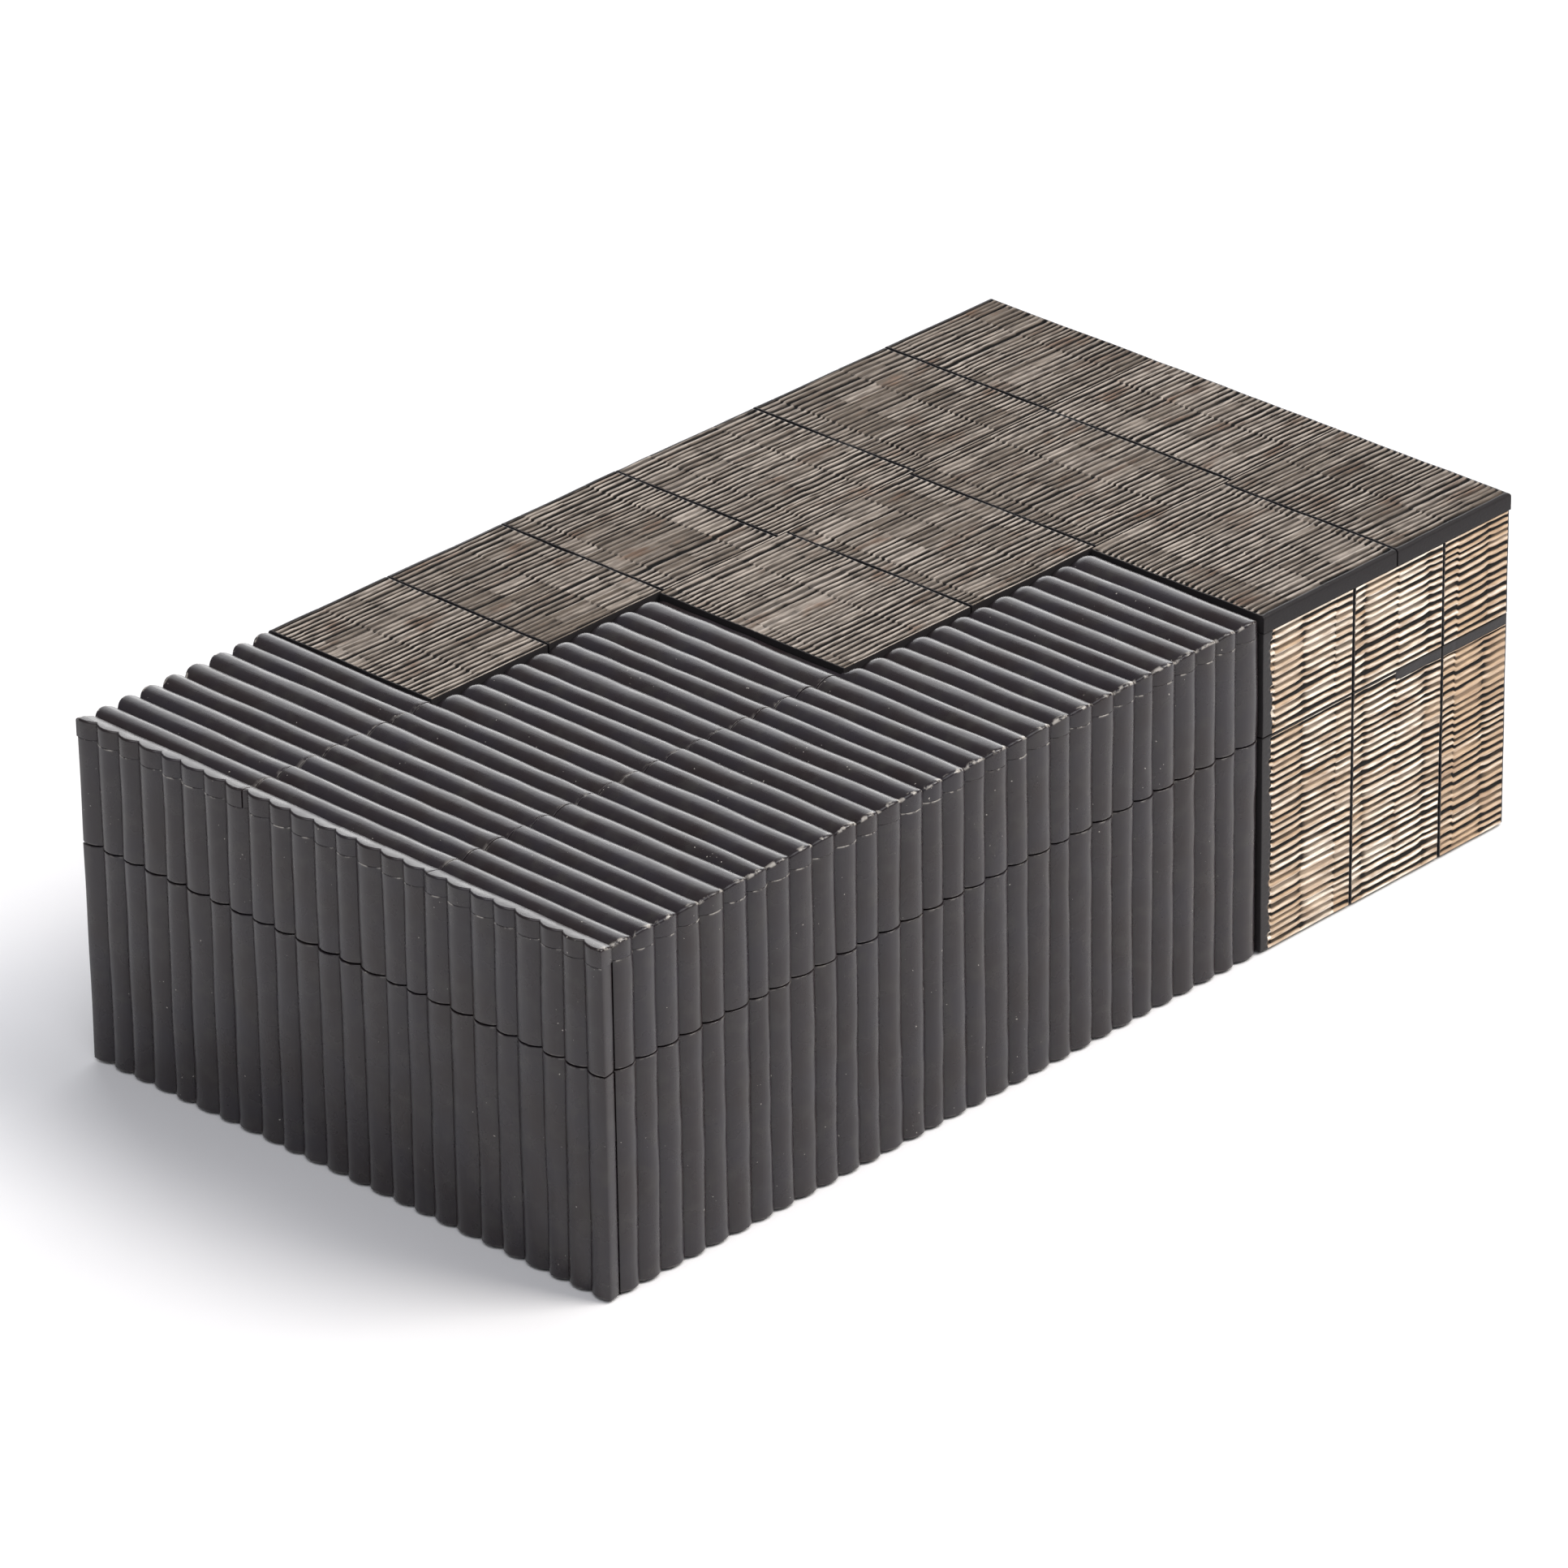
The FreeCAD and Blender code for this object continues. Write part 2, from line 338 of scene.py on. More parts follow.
def black_lacquered_hardwood():
    """Black spirit lacquer over carved hardwood, rubbed to a satin.

    The lacquer gives a soft sheen that brightens towards grazing angles, a faint drift between
    a cool and a warm black, and hairline tool marks along the reeds. Pale specks show where
    it has chipped off the wood, mostly at the rims of a slab.
    """
    lacquer = start_material("black_lacquered_hardwood")
    grain = add_node(lacquer, "Attribute", {}, attribute_name="grain", take="Vector")
    rim = add_node(lacquer, "Attribute", {}, attribute_name="rim", take="Fac")
    drift = add_node(lacquer, "TexNoise", {"Vector": grain, "Scale": 1 / (16 * MM), "Detail": 2})
    ebony = add_node(lacquer, "ValToRGB", {"Fac": drift}, stops=[
        (0.35, linear("#261f20")), (0.65, linear("#282429")),
    ])
    worn = add_node(lacquer, "TexNoise", {"Vector": grain, "Scale": 1 / (5 * MM), "Detail": 4})
    wear = add_node(lacquer, "MapRange", {
        "Value": worn, "From Min": 0.5, "From Max": 0.8, "To Max": 0.8,
    })
    ebony = add_node(lacquer, "MixRGB", {
        "Fac": wear, "Color1": ebony, "Color2": linear("#34312f"),
    })
    specks = add_node(lacquer, "TexNoise", {"Vector": grain, "Scale": 1 / (0.8 * MM), "Detail": 1})
    crowd = add_node(lacquer, "TexNoise", {"Vector": grain, "Scale": 1 / (20 * MM), "Detail": 2})
    limit = add_node(lacquer, "MapRange", {
        "Value": crowd, "From Min": 0.42, "From Max": 0.72, "To Min": 0.84, "To Max": 0.745,
    })
    fleck = add_node(lacquer, "Math", {0: specks, 1: limit}, operation="GREATER_THAN")
    patches = add_node(lacquer, "TexNoise", {"Vector": grain, "Scale": 1 / (2 * MM), "Detail": 3})
    bare = add_node(lacquer, "MapRange", {"Value": patches, "From Min": 0.5, "From Max": 0.6})
    rim_bare = add_node(lacquer, "Math", {0: bare, 1: rim}, operation="MULTIPLY")
    chipped = add_node(lacquer, "Math", {0: fleck, 1: rim_bare}, operation="MAXIMUM")
    colour = add_node(lacquer, "MixRGB", {
        "Fac": chipped, "Color1": ebony, "Color2": linear("#a8a39c"),
    })
    along = add_node(lacquer, "Mapping", {"Vector": grain, "Scale": (1, 0.08, 1)})
    strokes = add_node(lacquer, "TexNoise", {"Vector": along, "Scale": 1 / (0.5 * MM)})
    pits = add_node(lacquer, "TexNoise", {"Vector": grain, "Scale": 1 / (1.4 * MM), "Detail": 4})
    relief = add_node(lacquer, "Math", {0: strokes, 1: pits}, operation="ADD")
    normal = add_node(lacquer, "Bump", {
        "Height": relief, "Strength": 0.22, "Distance": 0.1 * MM,
    })
    rubbed = add_node(lacquer, "TexNoise", {"Vector": grain, "Scale": 1 / (7 * MM), "Detail": 3})
    gloss = add_node(lacquer, "MapRange", {
        "Value": rubbed, "From Min": 0.3, "From Max": 0.7, "To Min": 0.24, "To Max": 0.34,
    })
    surface = add_node(lacquer, "BsdfPrincipled", {
        "Base Color": colour, "Roughness": gloss, "IOR": 1.5, "Normal": normal,
    })
    add_node(lacquer, "OutputMaterial", {"Surface": surface})
    return lacquer


lacquer = black_lacquered_hardwood()

row_lines = [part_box(f"top_reeds_{row}") for row in ("front", "middle", "back")]
front_step, middle_step, back_step = [high.x for low, high in row_lines]
front_row_line = (row_lines[0][1].y + row_lines[1][0].y) / 2
back_row_line = (row_lines[1][1].y + row_lines[2][0].y) / 2

reeds_to_step = round((front_step - first_valley) / reed_pitch)
reeds_to_middle = round((middle_step - first_valley) / reed_pitch)
reed_lines = wandering_lines(
    first_valley - reed_pitch, reed_pitch, reeds_to_step + 1,
    (0, 1, reeds_to_middle + 1, reeds_to_step + 1), seed=7,
)
end_count = math.ceil((back - front + end_reed_start) / end_reed_pitch)
end_lines = wandering_lines(
    -front + end_reed_start - end_count * end_reed_pitch, end_reed_pitch, end_count,
    (end_count,), seed=19,
)


def corner_lines(run):
    """The valleys across the front and top, with the corner reed's own two put first."""
    lines = reed_lines(run)
    lines[0] = left - clad
    lines[1] = first_valley
    return lines


def corner_depth(depth):
    """How far in from the corner the reed that turns the corner is, at a depth behind it."""
    radius = (clad**2 + corner_rise**2) / (2 * corner_rise)
    return radius - np.sqrt(radius**2 - np.clip(depth, 0, clad) ** 2)


def end_depth(y, height):
    """Depth of the reeded end at places y, at one height: where its outline cuts the top."""
    places, depths = reed_surface(end_lines(np.array([height])), front, back)
    return np.interp(-y, places[:, 0], depths[:, 0])


def rows_between(low, high, spacing):
    """Even rows, with three close ones inside each end."""
    inside = np.array([0, 0.3, 0.7, 1.2]) * MM
    count = max(2, round((high - low) / spacing))
    middle = np.linspace(low + 2 * MM, high - 2 * MM, count)
    return np.concatenate([low + inside, middle, (high - inside)[::-1]])


def side_reeds(node, side):
    """A reeded slab on one of the upright faces.

    Its depth is that of the reeds across the face, plus slow waves. On the lid the waves fade
    out below the upper rim, where the slab meets the top. The lacquer is worn most at that rim.
    """
    low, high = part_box(node)
    on_lid = node.startswith("lid")
    soft = 0.2 * MM
    brim = crisp if on_lid else soft
    q = rows_between(low.z + soft, high.z - brim, row_spacing)
    if side == "left":
        radius, corner_gap = 0.4 * MM, 0.2 * MM
        lines = end_lines(q)
        edge = back - radius - corner_gap
        p, depth = reed_surface(lines, -edge, edge)
        ends, corner = (radius, radius), corner_depth
    else:
        run = q - roof if side == "front" else (back - front) + roof - q
        lines = corner_lines(run)[1:]
        start, stop = low.x, high.x
        if side == "back":
            lines = -lines[::-1]
            start, stop = -high.x, -low.x
        p, depth = reed_surface(lines, start + crisp, stop - crisp)
        ends, corner = (crisp, crisp), None
    level = np.clip((high.z - q) / waves_fade, 0, 1) if on_lid else 1
    depth = np.maximum(depth + level * slow_waves(p, q[None, :], len(node)), 0)
    q = np.broadcast_to(q, p.shape)
    worn_below = 0.3
    worn_above = 1 if on_lid else 0.4
    rim = np.maximum(
        worn_below * bell(q - low.z, rim_width), worn_above * bell(high.z - q, rim_width),
    )
    slab = make_slab(node, side, p, q, depth, (*ends, soft, brim), {"rim": (rim, 0)}, corner)
    slab.data.materials.append(lacquer)
    return slab


def top_reeds(node, near, far, step, next_step):
    """A reeded slab on the top, from near to far, and from the reeded end to its step.

    Rows lie cosine spaced between the valleys of the reeded end, so that the low end follows
    its outline: in by the reeds' own depth there. Within end_run of the box's front or back,
    rows are moved in by the depth, to lie over the side's reeds. Past next_step, where a
    grooved slab lies behind, the far end is rounded down by
    drop * (1 - sqrt(1 - 0.98 * nearness^2)).
    """
    outer_radius, end_radius, end_run, drop = 0.6 * MM, 0.5 * MM, 3 * MM, 1.5 * MM
    at_front, at_back = near == front, far == back
    near_edge = near if at_front else near + hairline / 2
    far_edge = far if at_back else far - hairline / 2
    radius_near = outer_radius if at_front else crisp
    radius_far = outer_radius if at_back else crisp
    start, stop = near_edge + radius_near, far_edge - radius_far
    valleys = -end_lines(np.array([roof]))[::-1, 0]
    share = 0.5 - 0.5 * np.cos(math.pi * np.arange(8) / 8)
    rows = (valleys[:-1, None] + share * np.diff(valleys)[:, None]).ravel()
    rows = rows[(rows > start + 0.2 * MM) & (rows < stop - 0.2 * MM)]
    close_rows = stop - np.array([2.8, 2.2, 1.6, 1.1, 0.7, 0.35, 0.12]) * MM
    rows = np.unique(np.concatenate([[start], rows, close_rows, [stop]]))
    rows = rows[np.append(True, np.diff(rows) > 0.06 * MM)]
    rows[-1] = stop
    near_share = np.clip(1 - (rows - start) / end_run, 0, 1) * at_front
    far_share = np.clip(1 - (stop - rows) / end_run, 0, 1) * at_back
    outline_rows = rows
    for _ in range(2):
        low = left + end_depth(outline_rows, roof) + end_radius
        p, depth = reed_surface(corner_lines(rows - front), low, step - crisp, corner_rise)
        q = rows + near_share * depth[:, :1] - far_share * depth[:, -1:]
        outline_rows = q[0]
    nearness = np.clip(1 - (stop - rows) / end_run, 0, 1)
    fall = drop * (1 - np.sqrt(1 - 0.98 * nearness**2))
    behind = np.clip((p - next_step) / (0.5 * MM), 0, 1)
    level = np.clip((p - low) / waves_fade, 0, 1)
    depth = np.maximum(depth + level * slow_waves(p, rows[None, :], len(node)), 0)
    depth = depth + fall * behind
    worn_outside, worn_at_joint = 0.9, 0.25
    rim = np.maximum(
        bell(q - q[:, :1], rim_width) * (worn_outside if at_front else worn_at_joint),
        bell(q[:, -1:] - q, rim_width) * (worn_outside if at_back else worn_at_joint),
    )
    slab = make_slab(
        node, "top", p, q, depth, (end_radius, crisp, radius_near, radius_far),
        {"rim": (rim, 0)}, bed=clad + 0.12 * MM,
    )
    slab.data.materials.append(lacquer)
    return slab


for body in ("base", "lid"):
    for side in ("front", "left", "back"):
        node = f"{body}_{side}_reeds"
        slab = side_reeds(node, side)
        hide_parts(node)
        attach(slab, body)

for node, near, far, step, next_step in (
    ("top_reeds_front", front, front_row_line, front_step, middle_step),
    ("top_reeds_middle", front_row_line, back_row_line, middle_step, back_step),
    ("top_reeds_back", back_row_line, back, back_step, right),
):
    slab = top_reeds(node, near, far, step, next_step)
    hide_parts(node)
    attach(slab, "lid")


# ---------------------------------------------------------------------------------------------
# Grooved slabs: 4.5 mm slabs scored along their length with a fine V tool, under 2 mm from one
# groove to the next, in courses 22 mm long that don't quite line up. The grooves are stained
# nearly black and the ridges rubbed back: cream on the sides, greyer and darker on the top.
# ---------------------------------------------------------------------------------------------

groove_depth = 0.7 * MM
course = 21.7 * MM
ridge_steps = np.array([0, 0.16, 0.3, 0.41, 0.5, 0.59, 0.7, 0.84])


def grooved_surface(low_p, high_p, low_q, high_q, pitch, joint, jog, bump, seed, shade, margins,
                    band):
    """A slab scored with fine grooves that run along p, as places, depth and marks.

    Rows run from one ridge's crest to the next. The cut is 0.5 - 0.5 * cos(turn), 1 in a
    groove and 0 on a crest, and the depth is groove_depth * cut^1.5, less where the tool was
    pressed less. Courses start at joint + n * course, where every groove steps by jog, which
    it loses again evenly by the next. Half way along a course the tool was lifted: each groove
    rises there by bump in a bell curve, and is wider and darker. margins are the widths of the
    uncut borders at the low and high ends of p, then of q, and band is a place on p and one on
    q past which nothing is cut.
    """
    spacing, lift_width, seam_width = 1.4 * MM, 1.4 * MM, 0.3 * MM
    blend, end_taper, side_taper = 0.45 * MM, 1.2 * MM, 2.5 * MM
    draw = np.random.default_rng(seed)
    starts = joint + course * np.arange(-20, 21)
    starts = starts + draw.normal(0, 0.3, len(starts)) * MM
    lifts = starts[:-1] + np.diff(starts) * draw.uniform(0.44, 0.52, len(starts) - 1)
    even = np.linspace(low_p, high_p, round((high_p - low_p) / spacing) + 1)
    close = np.concatenate([
        (starts[:, None] + np.array([-0.4, -0.12, 0.12, 0.4]) * MM).ravel(),
        (lifts[:, None] + np.array([-1.6, -1.1, -0.7, -0.3, 0.1, 0.5, 0.9, 1.4]) * MM).ravel(),
        low_p + margins[0] + np.array([-0.7, -0.3, 0.1, 0.6]) * MM,
        low_p + np.array([0.3, 0.8]) * MM, high_p - np.array([0.8, 0.3]) * MM,
    ])
    close = close[(close > low_p + 0.1 * MM) & (close < high_p - 0.1 * MM)]
    p = np.unique(np.concatenate([even, close]))
    p = p[np.append(True, np.diff(p) > 0.1 * MM)]
    p[-1] = high_p
    lift = bell(np.abs(p[:, None] - lifts).min(1), lift_width)
    seam = bell(np.abs(p[:, None] - starts).min(1), seam_width)
    strip = np.searchsorted(np.sort(np.concatenate([starts, lifts])), p)
    strip = strip - strip.min()

    count = round((high_q - low_q) / pitch)
    widths = np.exp(draw.normal(0, 0.14, count))
    edges = low_q + (high_q - low_q) * np.concatenate([[0], np.cumsum(widths)]) / widths.sum()
    if band:
        edges[1 + np.abs(edges[1:-1] - band[1]).argmin()] = band[1]
        edges = np.sort(edges)
    grooves, strips = len(edges), strip.max() + 1
    turns = np.stack([starts - blend, starts + blend], 1).ravel()
    sizes = np.repeat(draw.uniform(0.2, 1, len(starts)), 2) * np.tile([-0.5, 0.5], len(starts))
    step = np.interp(p, turns, sizes) * jog
    length = draw.uniform(9, 25, (grooves, 1)) * MM
    waver = 0.03 * MM * np.sin(2 * math.pi * p / length + draw.uniform(0, 6, (grooves, 1)))
    slip = draw.normal(0, 0.08, (grooves, strips)) * MM
    taper = np.clip(np.minimum(edges - low_q, high_q - edges) / side_taper, 0, 1)[:, None]
    place = edges[:, None] + taper * (step + waver + slip[:, strip] + bump * lift)
    if band:
        hold = np.clip((p - band[0]) / MM, 0, 1)
        place = np.where(edges[:, None] >= band[1], place + hold * (edges[:, None] - place), place)
    near, far = place[:-1, None, :], place[1:, None, :]
    q = (near + ridge_steps[:, None] * (far - near)).reshape(-1, len(p))
    q = np.concatenate([q, place[-1:]]).T

    turn = np.append(np.tile(ridge_steps, grooves - 1), 1)
    owner = np.append(np.repeat(np.arange(grooves - 1), len(ridge_steps)), grooves - 2)
    ends = np.clip(np.minimum(p - low_p, high_p - p) / end_taper, 0, 1)
    carved = np.ones(q.shape)
    reaches = (p[:, None] - low_p, high_p - p[:, None], q - low_q, high_q - q)
    for reach, width in zip(reaches, margins):
        if width:
            ragged = 1 + draw.uniform(-0.18, 0.18, grooves)[owner]
            carved = carved * np.clip((reach / width - ragged) / 0.29 + 0.5, 0, 1)
    if band:
        carved = carved * ~((q >= band[1] - 0.05 * MM) & (p[:, None] > band[0]))
    cut = (0.5 - 0.5 * np.cos(2 * math.pi * turn)) * np.ones(q.shape)
    patch = slow_waves(0.6 * p[:, None], q, seed + 1, 0.5)
    force = draw.uniform(0.62, 1.15, (grooves, 1)) + draw.normal(0, 0.15, (grooves, strips))
    force = np.clip(force[owner][:, strip].T + 0.16 * patch, 0.2, 1.15)
    press = draw.uniform(0.3, 1, (grooves, strips))[owner][:, strip].T
    lifted = np.clip(bump / (0.24 * MM), 0, 1) * lift[:, None] * press
    wide = cut ** (1.5 - 0.95 * lifted)
    depth = groove_depth * wide * (0.5 + 0.5 * force) * carved * (0.3 + 0.7 * ends[:, None])
    depth = depth + slow_waves(p[:, None], q, seed) + 0.05 * MM * seam[:, None]
    depth = depth + 0.15 * MM * (1 - carved)

    shades = draw.normal(0, 0.12, strips) + draw.normal(0, 0.2, (grooves, strips))
    tone = np.clip(0.4 + shade + shades[owner][:, strip].T - 0.12 * patch, 0, 1)
    stain = np.clip(force + 0.5 * lifted + 0.3 * seam[:, None], 0, 1.3)
    marks = {
        "cut": (wide, 0.6),
        "tone": (tone, 0.5),
        "stain": (stain, 0.8),
        "ink": (1 - carved, 1),
    }
    return np.broadcast_to(p[:, None], q.shape), q, np.maximum(depth, 0), marks


def scored_wood(name, pale, warm, flank, groove, patch, sheen):
    """Close-grained wood, scored, stained and rubbed back.

    The ridges keep the wood's own colour, which changes from strip to strip and in streaks
    along the grain. The flanks go brown, partly as stain and partly as painted shade, and the
    narrow pale crests left between them are partly a painted highlight. Stain lies in the
    grooves, thin in some and black in others. Uncut margins and edges carry the same black
    lacquer as the reeds.
    """
    wood = start_material(name)
    grain = add_node(wood, "Attribute", {}, attribute_name="grain", take="Vector")
    cut = add_node(wood, "Attribute", {}, attribute_name="cut", take="Fac")
    tone = add_node(wood, "Attribute", {}, attribute_name="tone", take="Fac")
    stain = add_node(wood, "Attribute", {}, attribute_name="stain", take="Fac")
    ink = add_node(wood, "Attribute", {}, attribute_name="ink", take="Fac")
    along = add_node(wood, "Mapping", {"Vector": grain, "Scale": (0.14, 1, 1)})
    streak = add_node(wood, "TexNoise", {"Vector": along, "Scale": 1 / (0.7 * MM), "Detail": 4})
    broad = add_node(wood, "Mapping", {"Vector": grain, "Scale": (0.45, 1, 1)})
    mottle = add_node(wood, "TexNoise", {"Vector": broad, "Scale": 1 / (7 * MM), "Detail": 5})

    ridge = add_node(wood, "ValToRGB", {"Fac": tone}, stops=[
        (0.15, linear(pale)), (0.85, linear(warm)),
    ])
    stained = add_node(wood, "MapRange", {
        "Value": mottle, "From Min": 0.56, "From Max": 0.7, "To Max": 0.8,
    })
    ridge = add_node(wood, "MixRGB", {"Fac": stained, "Color1": ridge, "Color2": linear(patch)})
    figure = add_node(wood, "MapRange", {
        "Value": streak, "From Min": 0.42, "From Max": 0.72, "To Max": 0.55,
    })
    ridge = add_node(wood, "MixRGB", {"Fac": figure, "Color1": ridge, "Color2": linear(flank)})
    uneven = add_node(wood, "MapRange", {
        "Value": streak, "From Min": 0.25, "From Max": 0.75, "To Min": -0.14, "To Max": 0.14,
    })
    edge = add_node(wood, "Math", {0: cut, 1: uneven}, operation="ADD")
    # Flanks brown right up to the crests: partly stain, and partly painted shade on the flanks
    # that leaves a painted highlight on the narrow pale crests.
    flank_stain_and_shade = add_node(wood, "MapRange", {
        "Value": edge, "From Min": 0.03, "From Max": 0.36, "To Max": 0.95,
    })
    flank_stain_and_shade = add_node(wood, "Math", {0: flank_stain_and_shade, 1: stain}, operation="MULTIPLY")
    sides = add_node(wood, "MixRGB", {"Fac": flank_stain_and_shade, "Color1": ridge, "Color2": linear(flank)})
    dark = add_node(wood, "MapRange", {"Value": edge, "From Min": 0.33, "From Max": 0.6})
    dark = add_node(wood, "Math", {0: dark, 1: stain}, operation="MULTIPLY", use_clamp=True)
    colour = add_node(wood, "MixRGB", {"Fac": dark, "Color1": sides, "Color2": linear(groove)})
    blot = add_node(wood, "Math", {0: ink, 1: uneven}, operation="ADD")
    inked = add_node(wood, "MapRange", {"Value": blot, "From Min": 0.4, "From Max": 0.6})
    colour = add_node(wood, "MixRGB", {
        "Fac": inked, "Color1": colour, "Color2": linear("#2a2829"),
    })
    fine = add_node(wood, "TexNoise", {"Vector": grain, "Scale": 1 / (0.7 * MM), "Detail": 3})
    relief = add_node(wood, "Math", {0: streak, 1: fine}, operation="ADD")
    normal = add_node(wood, "Bump", {"Height": relief, "Strength": 0.4, "Distance": 0.1 * MM})
    gloss = add_node(wood, "MapRange", {"Value": inked, "To Min": 0.62, "To Max": 0.38})
    surface = add_node(wood, "BsdfPrincipled", {
        "Base Color": colour, "Roughness": gloss, "IOR": 1.45, "Specular IOR Level": sheen,
        "Normal": normal,
    })
    add_node(wood, "OutputMaterial", {"Surface": surface})
    return wood


cream_scored_wood = scored_wood(
    "cream_scored_wood", "#fcf5e8", "#cdb397", "#a3886e", "#0d0a09", "#ab907a", 0.3
)
grey_scored_wood = scored_wood(
    "grey_scored_wood", "#aca298", "#73695f", "#443c36", "#050505", "#6d5342", 0.12
)


def grooved_slab(node, side, pitch, joint, jog, bump, radii, seed, shade, margins, band=None):
    """The grooved slab that stands for a node: grooved_surface over the node's own box."""
    low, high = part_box(node)
    low_p, high_p, low_q, high_q = {
        "front": (low.x, high.x, low.z, high.z),
        "back": (-high.x, -low.x, low.z, high.z),
        "right": (low.y, high.y, low.z, high.z),
        "top": (low.x, high.x, low.y, high.y),
    }[side]
    p, q, depth, marks = grooved_surface(
        low_p + radii[0], high_p - radii[1], low_q + radii[2], high_q - radii[3],
        pitch, joint, jog, bump, seed, shade, margins, band,
    )
    slab = make_slab(node, side, p, q, depth, radii, marks, sharp=70)
    slab.data.materials.append(grey_scored_wood if side == "top" else cream_scored_wood)
    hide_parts(node)
    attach(slab, "lid" if side == "top" or node.startswith("lid") else "base")


side_pitch = 1.95 * MM
top_pitch = 1.75 * MM
side_jog, side_bump = -0.6 * MM, 0.28 * MM
top_jog, top_bump = 0.6 * MM, 0.08 * MM
border, corner_border = 0.14 * MM, 2.8 * MM
tight, soft, outer = 0.15 * MM, 0.2 * MM, 0.8 * MM
front_joint = left + 242.6 * MM

for body, order in (("base", 0), ("lid", 1)):
    for number, shade in ((1, 0.0), (2, -0.1), (3, 0.45)):
        seed = 100 * order + number
        node = f"{body}_front_fine_{number}"
        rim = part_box(node)[1].z
        band = None if number == 1 or body == "lid" else (front_joint + course, rim - 2.5 * MM)
        at_end = outer if number == 3 else tight
        inked_rim = 0.1 * MM if body == "base" else 0
        grooved_slab(
            node, "front", side_pitch, front_joint, side_jog, side_bump,
            radii=(tight, at_end, soft, soft), seed=31 + seed, shade=shade,
            margins=(corner_border if number == 1 else border, border, 0, inked_rim), band=band,
        )
        grooved_slab(
            f"{body}_back_fine_{number}", "back", side_pitch, 0.0, side_jog, side_bump,
            radii=(at_end, tight, soft, soft), seed=51 + seed, shade=shade,
            margins=(border, border, 0, inked_rim),
        )
        grooved_slab(
            f"{body}_right_fine_{number}", "right", side_pitch, 0.0, side_jog, side_bump,
            radii=(tight, tight, soft, soft), seed=71 + seed, shade=shade,
            margins=(border, border, 0, inked_rim),
        )

top_shades = (0.1, -0.1, 0.15)
for row, count, joint, seed in (
    ("back", 6, left + 75.8 * MM, 341),
    ("middle", 4, left + 202.3 * MM, 361),
    ("front", 2, left + 239.2 * MM, 351),
):
    radius_near, margin_near = (outer, outer / 2) if row == "front" else (tight, 0)
    radius_far, margin_far = (outer, outer / 2) if row == "back" else (tight, 0)
    for number in range(1, count + 1):
        at_end = outer if number == count else tight
        grooved_slab(
            f"top_fine_{row}_{number}", "top", top_pitch, joint, top_jog, top_bump,
            radii=(tight, at_end, radius_near, radius_far), seed=seed + number,
            shade=top_shades[number % 3], margins=(border, border, margin_near, margin_far),
        )


# ---------------------------------------------------------------------------------------------
# Carcass: softwood boards glued and pinned at the corners, and the thin inner walls that stand
# above the rim to locate the lid. Everything is stained dark and waxed, and the grain shows.
# ---------------------------------------------------------------------------------------------


def dark_stained_pine(name, scale):
    """Pine under a dark water stain and a coat of wax, with its rings drawn out by scale.

    The soft early wood drinks the stain and the late wood stays brown, in lines along the
    board, and the wax gives a low sheen.
    """
    pine = start_material(name)
    place = add_node(pine, "TexCoord", {}, take="Object")
    along = add_node(pine, "Mapping", {"Vector": place, "Scale": scale})
    ring_spacing = 7.48 * MM
    rings = add_node(pine, "TexWave", {
        "Vector": along, "Scale": math.pi / (10 * ring_spacing),
        "Distortion": 9.0, "Detail": 3.0, "Detail Scale": 1.6,
    }, bands_direction="Z", wave_profile="SAW", take="Fac")
    fibre = add_node(pine, "TexNoise", {"Vector": along, "Scale": 1 / (1.1 * MM), "Detail": 5})
    figure = add_node(pine, "MixRGB", {"Fac": 0.5, "Color1": rings, "Color2": fibre})
    colour = add_node(pine, "ValToRGB", {"Fac": figure}, stops=[
        (0.2, linear("#1d1410")), (0.8, linear("#4a3427")),
    ])
    normal = add_node(pine, "Bump", {"Height": figure, "Strength": 0.3, "Distance": 0.15 * MM})
    wax = add_node(pine, "MapRange", {
        "Value": fibre, "From Min": 0.3, "From Max": 0.7, "To Min": 0.42, "To Max": 0.58,
    })
    surface = add_node(pine, "BsdfPrincipled", {
        "Base Color": colour, "Roughness": wax, "Normal": normal,
    })
    add_node(pine, "OutputMaterial", {"Surface": surface})
    return pine


pine_along_x = dark_stained_pine("dark_stained_pine_long_boards", (0.06, 1, 1))
pine_along_y = dark_stained_pine("dark_stained_pine_end_boards", (1, 0.06, 1))
for name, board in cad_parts.items():
    if name.endswith("_board") or name.startswith("liner_"):
        runs_across = name.endswith(("left_board", "right_board", "_left", "_right"))
        board.data.materials.clear()
        board.data.materials.append(pine_along_y if runs_across else pine_along_x)


# ---------------------------------------------------------------------------------------------
# Felt: black wool felt, 1 mm thick, cut to size and glued to the floor of the box and to the
# underside of the lid, and a thinner pad under the base that keeps the cut ends off the table.
# ---------------------------------------------------------------------------------------------


def black_wool_felt():
    """Pressed wool: no weave, a mat of fibres that scatters light softly."""
    felt = start_material("black_wool_felt")
    place = add_node(felt, "TexCoord", {}, take="Object")
    fibres = add_node(felt, "TexNoise", {
        "Vector": place, "Scale": 1 / (0.8 * MM), "Detail": 6, "Roughness": 0.7,
    })
    nap = add_node(felt, "TexNoise", {"Vector": place, "Scale": 1 / (14 * MM), "Detail": 3})
    shade = add_node(felt, "MixRGB", {"Fac": 0.4, "Color1": fibres, "Color2": nap})
    colour = add_node(felt, "ValToRGB", {"Fac": shade}, stops=[
        (0.35, linear("#121214")), (0.7, linear("#2c2b2e")),
    ])
    normal = add_node(felt, "Bump", {"Height": fibres, "Strength": 0.7, "Distance": 0.3 * MM})
    surface = add_node(felt, "BsdfPrincipled", {
        "Base Color": colour, "Roughness": 0.95, "Sheen Weight": 0.35, "Sheen Roughness": 0.5,
        "Normal": normal,
    })
    add_node(felt, "OutputMaterial", {"Surface": surface})
    return felt


felt_material = black_wool_felt()


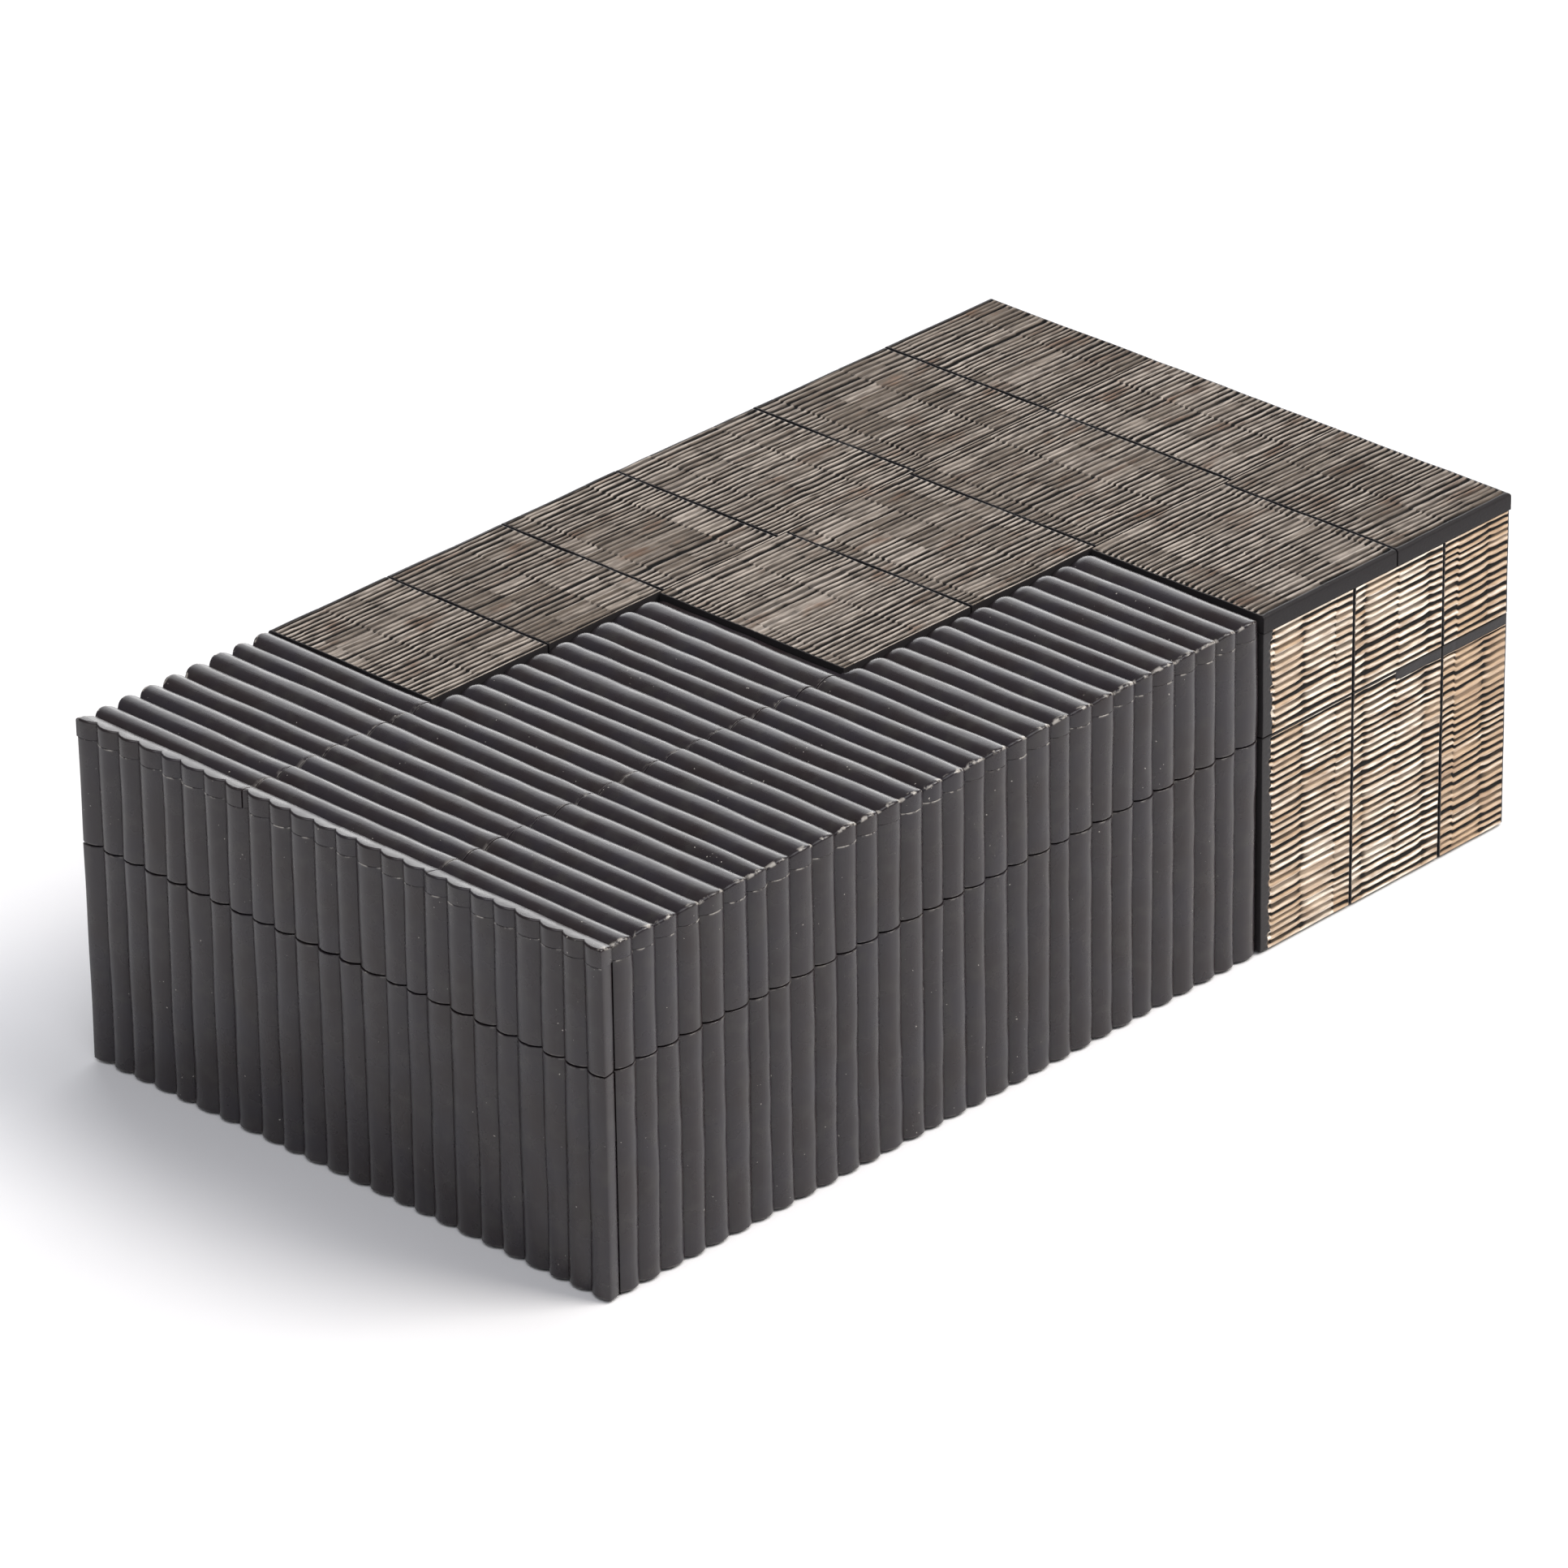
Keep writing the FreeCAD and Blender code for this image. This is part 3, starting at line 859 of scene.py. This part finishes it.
def felt_sheet(node, body, face_up):
    """A felt cut to size: a soft rectangle with a rounded edge and an uneven face.

    From the rim in, the face rises from 0.35 to 0.95 of the thickness along a quarter circle,
    sqrt(inward * (2 - inward)), and is lifted by plane waves that die out at the rim. The
    other face is flat, because it is glued down.
    """
    low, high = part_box(node)
    width, length, thick = high.y - low.y, high.x - low.x, high.z - low.z
    spacing, rounding = 5 * MM, 0.8 * thick
    x = rows_between(low.x, high.x, spacing)
    y = rows_between(low.y, high.y, spacing)
    x, y = np.meshgrid(x, y, indexing="ij")
    inset = np.minimum.reduce([x - low.x, high.x - x, y - low.y, high.y - y])
    inward = np.clip(inset / rounding, 0, 1)
    swell = np.sqrt(inward * (2 - inward))
    uneven = slow_waves(x, y, len(node), 0.02 * thick) * swell
    level = thick * (0.35 + 0.6 * swell) + uneven
    glued, loose = (low.z, 1) if face_up else (high.z, -1)
    surface = np.stack([x, y, glued + loose * level], 2).reshape(-1, 3)
    a, b, _, _ = rim_loop(*x.shape)
    flat = np.stack([x[a, b], y[a, b], np.full(len(a), glued)], 1)
    mesh = bpy.data.meshes.new(node)
    points = np.concatenate([surface, flat])
    mesh.from_pydata(points.tolist(), [], slab_faces(*x.shape, rings=1))
    if not face_up:
        mesh.flip_normals()
    mesh.shade_smooth()
    mesh.set_sharp_from_angle(angle=math.radians(60))
    mesh.materials.append(felt_material)
    felt = bpy.data.objects.new(f"{node}_sheet", mesh)
    bpy.context.scene.collection.objects.link(felt)
    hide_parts(node)
    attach(felt, body)


felt_sheet("floor_felt", "base", True)
felt_sheet("lid_felt", "lid", False)
felt_sheet("foot_felt", "base", False)


# ---------------------------------------------------------------------------------------------
# Studio: a pale seamless floor that fills the view, a large soft light from the front right and
# above, and a pale surround that is dimmer on the reeded end's side.
# ---------------------------------------------------------------------------------------------

floor_reach = 6.0
floor_mesh = bpy.data.meshes.new("studio_floor")
floor_mesh.from_pydata(
    [(-floor_reach, -floor_reach, 0), (floor_reach, -floor_reach, 0),
     (floor_reach, floor_reach, 0), (-floor_reach, floor_reach, 0)],
    [], [(0, 1, 2, 3)],
)
studio_floor = bpy.data.objects.new("studio_floor", floor_mesh)
bpy.context.scene.collection.objects.link(studio_floor)


def seamless_paper():
    """Matt white background paper, with the faintest mottle."""
    paper = start_material("seamless_paper")
    place = add_node(paper, "TexCoord", {}, take="Object")
    mottle = add_node(paper, "TexNoise", {"Vector": place, "Scale": 1 / (60 * MM)})
    colour = add_node(paper, "ValToRGB", {"Fac": mottle}, stops=[
        (0.3, linear("#ededee")), (0.7, linear("#efeff0")),
    ])
    surface = add_node(paper, "BsdfPrincipled", {"Base Color": colour, "Roughness": 0.9})
    add_node(paper, "OutputMaterial", {"Surface": surface})
    return paper


floor_mesh.materials.append(seamless_paper())


def soft_light(name, place, size, watts, tint):
    """A soft box at a place, turned to face the middle of the box, and unseen itself."""
    data = bpy.data.lights.new(name, "AREA")
    data.shape, data.size, data.size_y = "RECTANGLE", *size
    data.energy, data.color = watts, linear(tint)[:3]
    light = bpy.data.objects.new(name, data)
    light.location = place
    light.rotation_euler = (Vector(place) - box_centre).to_track_quat("Z", "Y").to_euler()
    light.visible_camera = False
    bpy.context.scene.collection.objects.link(light)


soft_light("key_soft_box", (1.15, -1.7, 2.25), (1.6, 1.6), 75, "#fffaf4")
soft_light("overhead_soft_box", (0.7, -0.5, 2.5), (1.4, 1.4), 22, "#fbfbff")
soft_light("fill_soft_box", (-1.4, -0.7, 2.3), (2.2, 2.2), 35, "#fafaff")
soft_light("lit_backdrop_low", (1.95, 1.6, 0.45), (2.6, 0.9), 26, "#ffffff")
soft_light("lit_backdrop_high", (1.75, 1.45, 1.45), (2.6, 1.1), 16, "#fbfcff")

surround = bpy.data.worlds.new("pale_surround")
surround.use_nodes = True
surround.node_tree.nodes["Background"].inputs["Color"].default_value = linear("#f4f6fa")
surround.node_tree.nodes["Background"].inputs["Strength"].default_value = 0.18
bpy.context.scene.world = surround
bpy.context.scene.view_settings.view_transform = "Standard"
